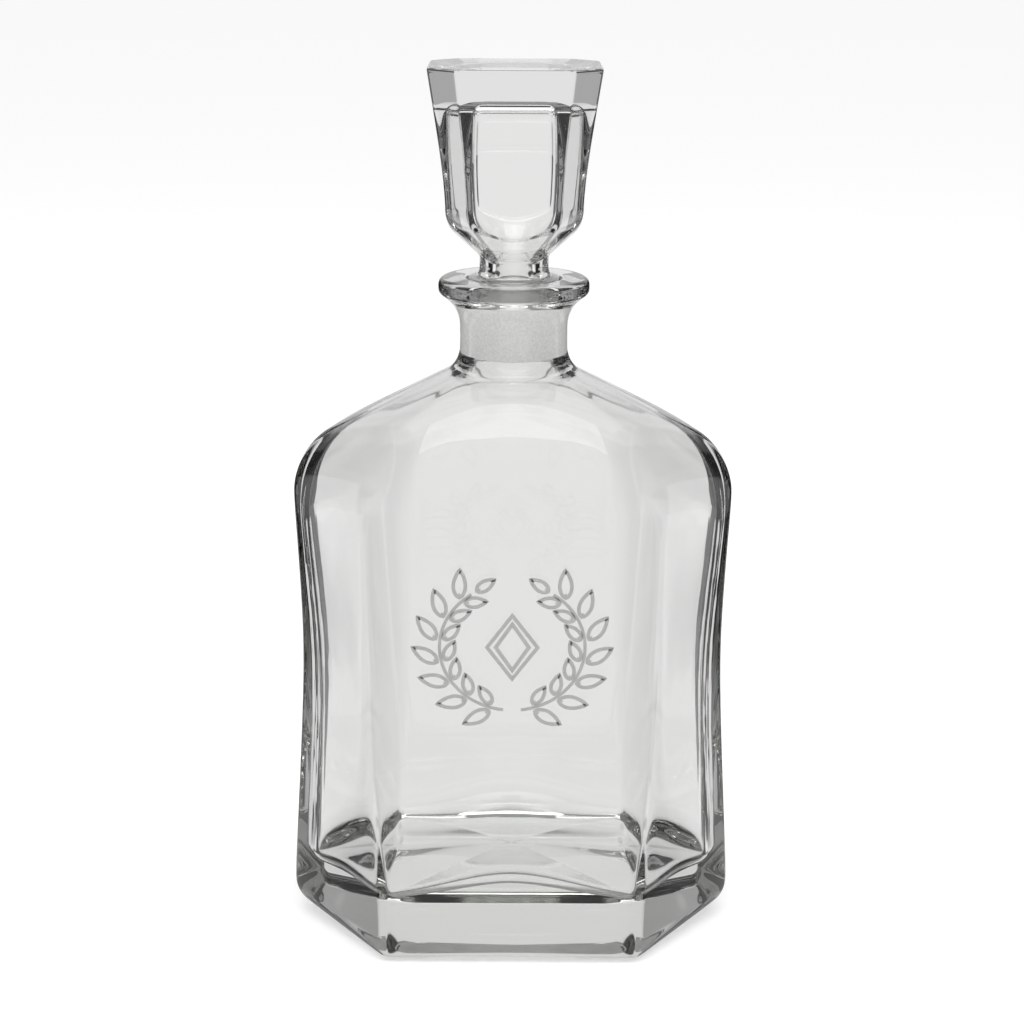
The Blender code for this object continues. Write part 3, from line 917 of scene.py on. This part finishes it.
def addLozenge(bm, grow):
    middle, steps = w["centreHeight"], w["lozengeSteps"]
    reachX, reachZ = w["lozenge"][0] + grow, w["lozenge"][1] + grow
    points = []
    for startX, startZ, endX, endZ in ((1, 0, 0, -1), (0, -1, -1, 0), (-1, 0, 0, 1), (0, 1, 1, 0)):
        for step in range(steps):
            share = step / steps
            points.append((reachX * (startX * (1 - share) + endX * share),
                           middle + reachZ * (startZ * (1 - share) + endZ * share)))
    shrink = 1 - w["line"] * w["lozengeLine"] / min(reachX, reachZ)
    inner = [(x * shrink, middle + (z - middle) * shrink) for x, z in points]
    outlineRing(bm, points, inner)


def buildWreath():
    bm = bmesh.new()
    for side in (-1, 1):
        addBranch(bm, side)
    for grow in (0.0, w["lozengeGap"]):
        addLozenge(bm, grow)
    bmesh.ops.recalc_face_normals(bm, faces=bm.faces)
    for face in bm.faces:
        if face.normal.y > 0:
            face.normal_flip()
    bmesh.ops.translate(bm, verts=bm.verts, vec=(0.0, bottleLow[1] - w["front"], 0.0))
    piece = finishedPiece(bm, "etched_wreath")
    thickness = piece.modifiers.new("depth", "SOLIDIFY")
    thickness.thickness = w["depth"]
    thickness.offset = -1.0
    return piece


wreathPiece = buildWreath()
wreathPiece.data.materials.append(etchedGlass)
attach(wreathPiece, "bottle")
print("etching built")

# Studio: dark cards in the world, painted dark and bright bands in the floor's glow and black flags
# stand round the table, and only the glass sees them
studio = {
    "cameraDistance": 0.600,
    "cameraHeight": 0.285,
    "cameraSide": -0.00105,
    "cameraPitch": math.radians(15.51),
    "cameraRoll": math.radians(-0.29),
    "lens": 79.4,
    "farthestSeen": 20.0,
    "floorRadius": 6.0,
    "floorSegments": 96,
    "floorDrop": 0.0002,
    "floorColour": (0.93, 0.93, 0.93, 1.0),
    "floorGlow": 0.2,
    # the share of painted glow, in place of the floor's lit colour, where the glass sees the floor
    # near the decanter
    "floorEvenness": 0.75,
    "backdrop": 0.8,                       # how bright the backdrop is through the glass
    "overhead": 1.0,
    "roomLight": 0.8,
    "throughFrost": 1.3,                   # what the frosted glass gathers its light from
    # the darkest that the room and the table, and the flags, look straight through the glass
    "straightThrough": 0.15,
    "flagStraightThrough": 0.07,
    "mirroredTwice": 0.35,                 # what is left of the brightness in a second mirroring
    # cards are compass degrees from straight behind, and the brightness there
    "mirroredCards": ((16, 1.0), (26, 0.75), (64, 0.75), (68, 1.0), (84, 1.0), (92, 0.30),
                      (142, 0.30), (156, 1.0)),
    "lowCards": ((17, 0.8), (19, 0.6), (22, 0.42), (32, 0.42), (34, 0.03), (62, 0.03), (68, 0.3),
                 (92, 0.3), (104, 0.8)),
    "middleCards": ((33, 0.8), (35, 0.04), (80, 0.04), (86, 0.5), (97, 0.8)),
    "upperCards": ((25, 0.8), (27, 0.5), (50, 0.5), (54, 0.04), (80, 0.04), (86, 0.4), (112, 0.4),
                   (116, 0.8)),
    # painted dark and bright bands in the floor's glow, seen only through the glass, near the table
    # and far out
    "paintedTableBands": ((0, 0.03), (40, 0.03), (44, 0.95), (54.5, 0.95), (58, 0.03), (69, 0.03),
                   (72, 0.95), (84, 0.95), (88, 0.03), (112, 0.03), (130, 0.8)),
    "paintedFarTableBands": ((18, 0.8), (19, 0.02), (65, 0.02), (68, 0.95), (80, 0.95), (84, 0.02),
                      (112, 0.02), (130, 0.8)),
    "lowToMiddle": (0.12, 0.16),           # sines of the heights where the bands meet
    "middleToUpper": (0.23, 0.27),
    "upperToOverhead": (0.545, 0.67),
    "tableReach": (0.075, 0.12),
    "farTableReach": (0.40, 0.50),
    # the plain floor straight behind: half its width, its gain with distance, its soft edge
    "runway": (0.066, 0.11),
    "runwayEdge": (0.0, 0.008),
    # black flags: compass, distance, heights
    "sideFlag": ((68, 148), 0.20, (0.165, 0.36)),
    "shoulderFlag": ((15.5, 48), 1.0, (0.0, 0.26)),
    "backFlag": ((-12, 12), 0.30, (0.46, 0.80)),
    "flagLevel": 0.01,
    "topBoxPlace": (0.0, -0.35, 1.2),
    "topBoxTarget": (0.0, 0.0, 0.1),
    "topBoxSize": (1.2, 0.7),
    "topBoxWatts": 6.0,
    "bounces": 32,
    "glossyBounces": 16,
    "diffuseBounces": 8,
}

camera = bpy.data.objects.new("camera", bpy.data.cameras.new("camera"))
bpy.context.scene.collection.objects.link(camera)
camera.location = (studio["cameraSide"], -studio["cameraDistance"], studio["cameraHeight"])
camera.rotation_euler = (math.pi / 2 - studio["cameraPitch"], studio["cameraRoll"], 0.0)
camera.data.lens = studio["lens"]
camera.data.clip_end = studio["farthestSeen"]
bpy.context.scene.camera = camera


def compassShare(tree, direction):
    # 0 straight behind the decanter, 1 on the camera's side
    across = mathNode(tree, "ABSOLUTE", direction[0])
    turn = mathNode(tree, "ARCTAN2", across, direction[1])
    return mathNode(tree, "DIVIDE", turn, math.pi)


def cards(tree, share, stops):
    node = tree.nodes.new("ShaderNodeValToRGB")
    elements = node.color_ramp.elements
    while len(elements) < len(stops):
        elements.new(1.0)
    for element, (degrees, brightness) in zip(elements, stops):
        element.position = degrees / 180
        element.color = (brightness, brightness, brightness, 1.0)
    tree.links.new(share, node.inputs["Fac"])
    return node.outputs["Color"]


def blend(tree, share, first, second):
    # from the first to the second
    change = mathNode(tree, "SUBTRACT", second, first)
    return mathNode(tree, "ADD", first, mathNode(tree, "MULTIPLY", share, change))


def seenByGlass(tree, path):
    return mathNode(tree, "MAXIMUM", path.outputs["Is Glossy Ray"],
                    path.outputs["Is Transmission Ray"])


def shadeInGlass(tree, path, shade, least, compass=None):
    # what is seen straight through the glass stays soft, what its faces mirror may go dark
    depth = path.outputs["Glossy Depth"]
    mirrored = mathNode(tree, "MINIMUM", depth, 1.0)
    least = blend(tree, mirrored, least, 0.0)
    again = mathNode(tree, "SUBTRACT", mathNode(tree, "MINIMUM", depth, 2.0), mirrored)
    kept = blend(tree, again, 1.0, studio["mirroredTwice"])
    shade = mathNode(tree, "MULTIPLY", shade, kept)
    if compass is not None:
        dimmed = blend(tree, mirrored, 1.0, cards(tree, compass, studio["mirroredCards"]))
        shade = mathNode(tree, "MULTIPLY", shade, dimmed)
    shade = mathNode(tree, "MAXIMUM", shade, least)
    # frosted glass gathers its light as if the cards and flags weren't there
    frosted = mathNode(tree, "MINIMUM", path.outputs["Diffuse Depth"], 1.0)
    return blend(tree, frosted, shade, studio["throughFrost"])


def makeWorld():
    world = bpy.data.worlds.new("studio")
    bpy.context.scene.world = world
    world.use_nodes = True
    tree = world.node_tree
    tree.nodes.clear()
    path = tree.nodes.new("ShaderNodeLightPath")
    direction = separated(tree, tree.nodes.new("ShaderNodeTexCoord").outputs["Generated"])
    compass = compassShare(tree, direction)
    middle = ramp(tree, direction[2], studio["lowToMiddle"])
    upper = ramp(tree, direction[2], studio["middleToUpper"])
    above = ramp(tree, direction[2], studio["upperToOverhead"])
    shade = blend(tree, middle, cards(tree, compass, studio["lowCards"]),
                  cards(tree, compass, studio["middleCards"]))
    shade = blend(tree, upper, shade, cards(tree, compass, studio["upperCards"]))
    shade = blend(tree, above, shade, studio["overhead"])
    shade = shadeInGlass(tree, path, shade, studio["straightThrough"], compass)
    seen = seenByGlass(tree, path)
    glassLevel = mathNode(tree, "MULTIPLY", seen, shade)
    rest = mathNode(tree, "MULTIPLY", mathNode(tree, "SUBTRACT", 1.0, seen), studio["roomLight"])
    unlit = mathNode(tree, "ADD", glassLevel, rest)
    # the camera itself sees plain white
    byCamera = path.outputs["Is Camera Ray"]
    notCamera = mathNode(tree, "SUBTRACT", 1.0, byCamera)
    strength = mathNode(tree, "ADD", mathNode(tree, "MULTIPLY", notCamera, unlit), byCamera)
    background = tree.nodes.new("ShaderNodeBackground")
    background.inputs["Color"].default_value = (1.0, 1.0, 1.0, 1.0)
    tree.links.new(strength, background.inputs["Strength"])
    output = tree.nodes.new("ShaderNodeOutputWorld")
    tree.links.new(background.outputs[0], output.inputs["Surface"])


def floorShade(tree, path):
    # through the glass the floor glows mostly the same even tone as the backdrop, with painted dark
    # and bright bands round the table: painted shade and light seen in the glass
    place = separated(tree, objectPlace(tree))
    compass = compassShare(tree, place)
    squares = [mathNode(tree, "MULTIPLY", along, along) for along in (place[0], place[1])]
    radius = mathNode(tree, "SQRT", mathNode(tree, "ADD", *squares))
    away = ramp(tree, radius, studio["tableReach"])
    halfWidth, gain = studio["runway"]
    edge = mathNode(tree, "ADD", mathNode(tree, "MULTIPLY", place[1], gain), halfWidth)
    past = mathNode(tree, "SUBTRACT", mathNode(tree, "ABSOLUTE", place[0]), edge)
    beside = ramp(tree, past, studio["runwayEdge"])
    far = ramp(tree, radius, studio["farTableReach"])
    near = blend(tree, beside, studio["backdrop"], cards(tree, compass, studio["paintedTableBands"]))
    shade = blend(tree, far, near, cards(tree, compass, studio["paintedFarTableBands"]))
    shade = blend(tree, away, studio["backdrop"], shade)
    return shadeInGlass(tree, path, shade, studio["straightThrough"], compass), away


def makeFloor():
    bm = bmesh.new()
    bmesh.ops.create_circle(bm, cap_ends=True, segments=studio["floorSegments"],
                            radius=studio["floorRadius"])
    bmesh.ops.translate(bm, verts=bm.verts, vec=(0.0, 0.0, -studio["floorDrop"]))
    floor = finishedPiece(bm, "floor")
    material = bpy.data.materials.new("paleFloor")
    material.use_nodes = True
    tree = material.node_tree
    tree.nodes.clear()
    diffuse = tree.nodes.new("ShaderNodeBsdfDiffuse")
    diffuse.inputs["Color"].default_value = studio["floorColour"]
    glow = tree.nodes.new("ShaderNodeEmission")
    path = tree.nodes.new("ShaderNodeLightPath")
    tree.links.new(mathNode(tree, "MULTIPLY", path.outputs["Is Camera Ray"], studio["floorGlow"]),
                   glow.inputs["Strength"])
    both = tree.nodes.new("ShaderNodeAddShader")
    tree.links.new(diffuse.outputs[0], both.inputs[0])
    tree.links.new(glow.outputs[0], both.inputs[1])
    # seen through the glass the floor glows with painted light and shade in place of its lit colour
    # and shadow, three quarters of it near the decanter and all of it farther out
    even = tree.nodes.new("ShaderNodeEmission")
    shade, away = floorShade(tree, path)
    tree.links.new(shade, even.inputs["Strength"])
    evenness = ramp(tree, away, (0.0, 1.0), (studio["floorEvenness"], 1.0))
    mixed = tree.nodes.new("ShaderNodeMixShader")
    tree.links.new(mathNode(tree, "MULTIPLY", seenByGlass(tree, path), evenness), mixed.inputs[0])
    tree.links.new(both.outputs[0], mixed.inputs[1])
    tree.links.new(even.outputs[0], mixed.inputs[2])
    output = tree.nodes.new("ShaderNodeOutputMaterial")
    tree.links.new(mixed.outputs[0], output.inputs["Surface"])
    floor.data.materials.append(material)


def softbox(name, place, target, size, watts):
    lamp = bpy.data.lights.new(name, "AREA")
    lamp.shape = "RECTANGLE"
    lamp.size, lamp.size_y = size
    lamp.energy = watts
    light = bpy.data.objects.new(name, lamp)
    bpy.context.scene.collection.objects.link(light)
    light.location = place
    light.rotation_euler = (Vector(target) - Vector(place)).to_track_quat("-Z", "Y").to_euler()
    light.visible_camera = False
    light.visible_glossy = False


def makeFlag(name, side, placing):
    compass, distance, (low, high) = placing
    start, end = (math.radians(angle) for angle in compass)
    width = distance * 2 * math.sin((end - start) / 2)
    facing = Matrix.Rotation(-side * (start + end) / 2, 3, "Z")
    bm = bmesh.new()
    bmesh.ops.create_grid(bm, x_segments=1, y_segments=1, size=0.5)
    bmesh.ops.scale(bm, verts=bm.verts, vec=(width, high - low, 1))
    bmesh.ops.rotate(bm, verts=bm.verts, matrix=Matrix.Rotation(math.pi / 2, 3, "X"))
    bmesh.ops.translate(bm, verts=bm.verts, vec=(0.0, distance, (low + high) / 2))
    bmesh.ops.rotate(bm, verts=bm.verts, matrix=facing)
    flag = finishedPiece(bm, name)
    flag.visible_camera = False
    flag.visible_diffuse = False
    flag.visible_shadow = False
    black = bpy.data.materials.new(name)
    black.use_nodes = True
    tree = black.node_tree
    tree.nodes.clear()
    path = tree.nodes.new("ShaderNodeLightPath")
    card = tree.nodes.new("ShaderNodeEmission")
    tree.links.new(shadeInGlass(tree, path, studio["flagLevel"], studio["flagStraightThrough"]),
                   card.inputs["Strength"])
    output = tree.nodes.new("ShaderNodeOutputMaterial")
    tree.links.new(card.outputs[0], output.inputs["Surface"])
    flag.data.materials.append(black)


makeWorld()
makeFloor()
makeFlag("leftFlag", -1, studio["sideFlag"])
makeFlag("rightFlag", 1, studio["sideFlag"])
makeFlag("leftShoulderFlag", -1, studio["shoulderFlag"])
makeFlag("rightShoulderFlag", 1, studio["shoulderFlag"])
makeFlag("backFlag", 1, studio["backFlag"])
softbox("topBox", studio["topBoxPlace"], studio["topBoxTarget"], studio["topBoxSize"],
        studio["topBoxWatts"])
bpy.context.scene.view_settings.view_transform = "Standard"
bpy.context.scene.cycles.max_bounces = studio["bounces"]
bpy.context.scene.cycles.transmission_bounces = studio["bounces"]
bpy.context.scene.cycles.glossy_bounces = studio["glossyBounces"]
bpy.context.scene.cycles.diffuse_bounces = studio["diffuseBounces"]
print("studio ready")
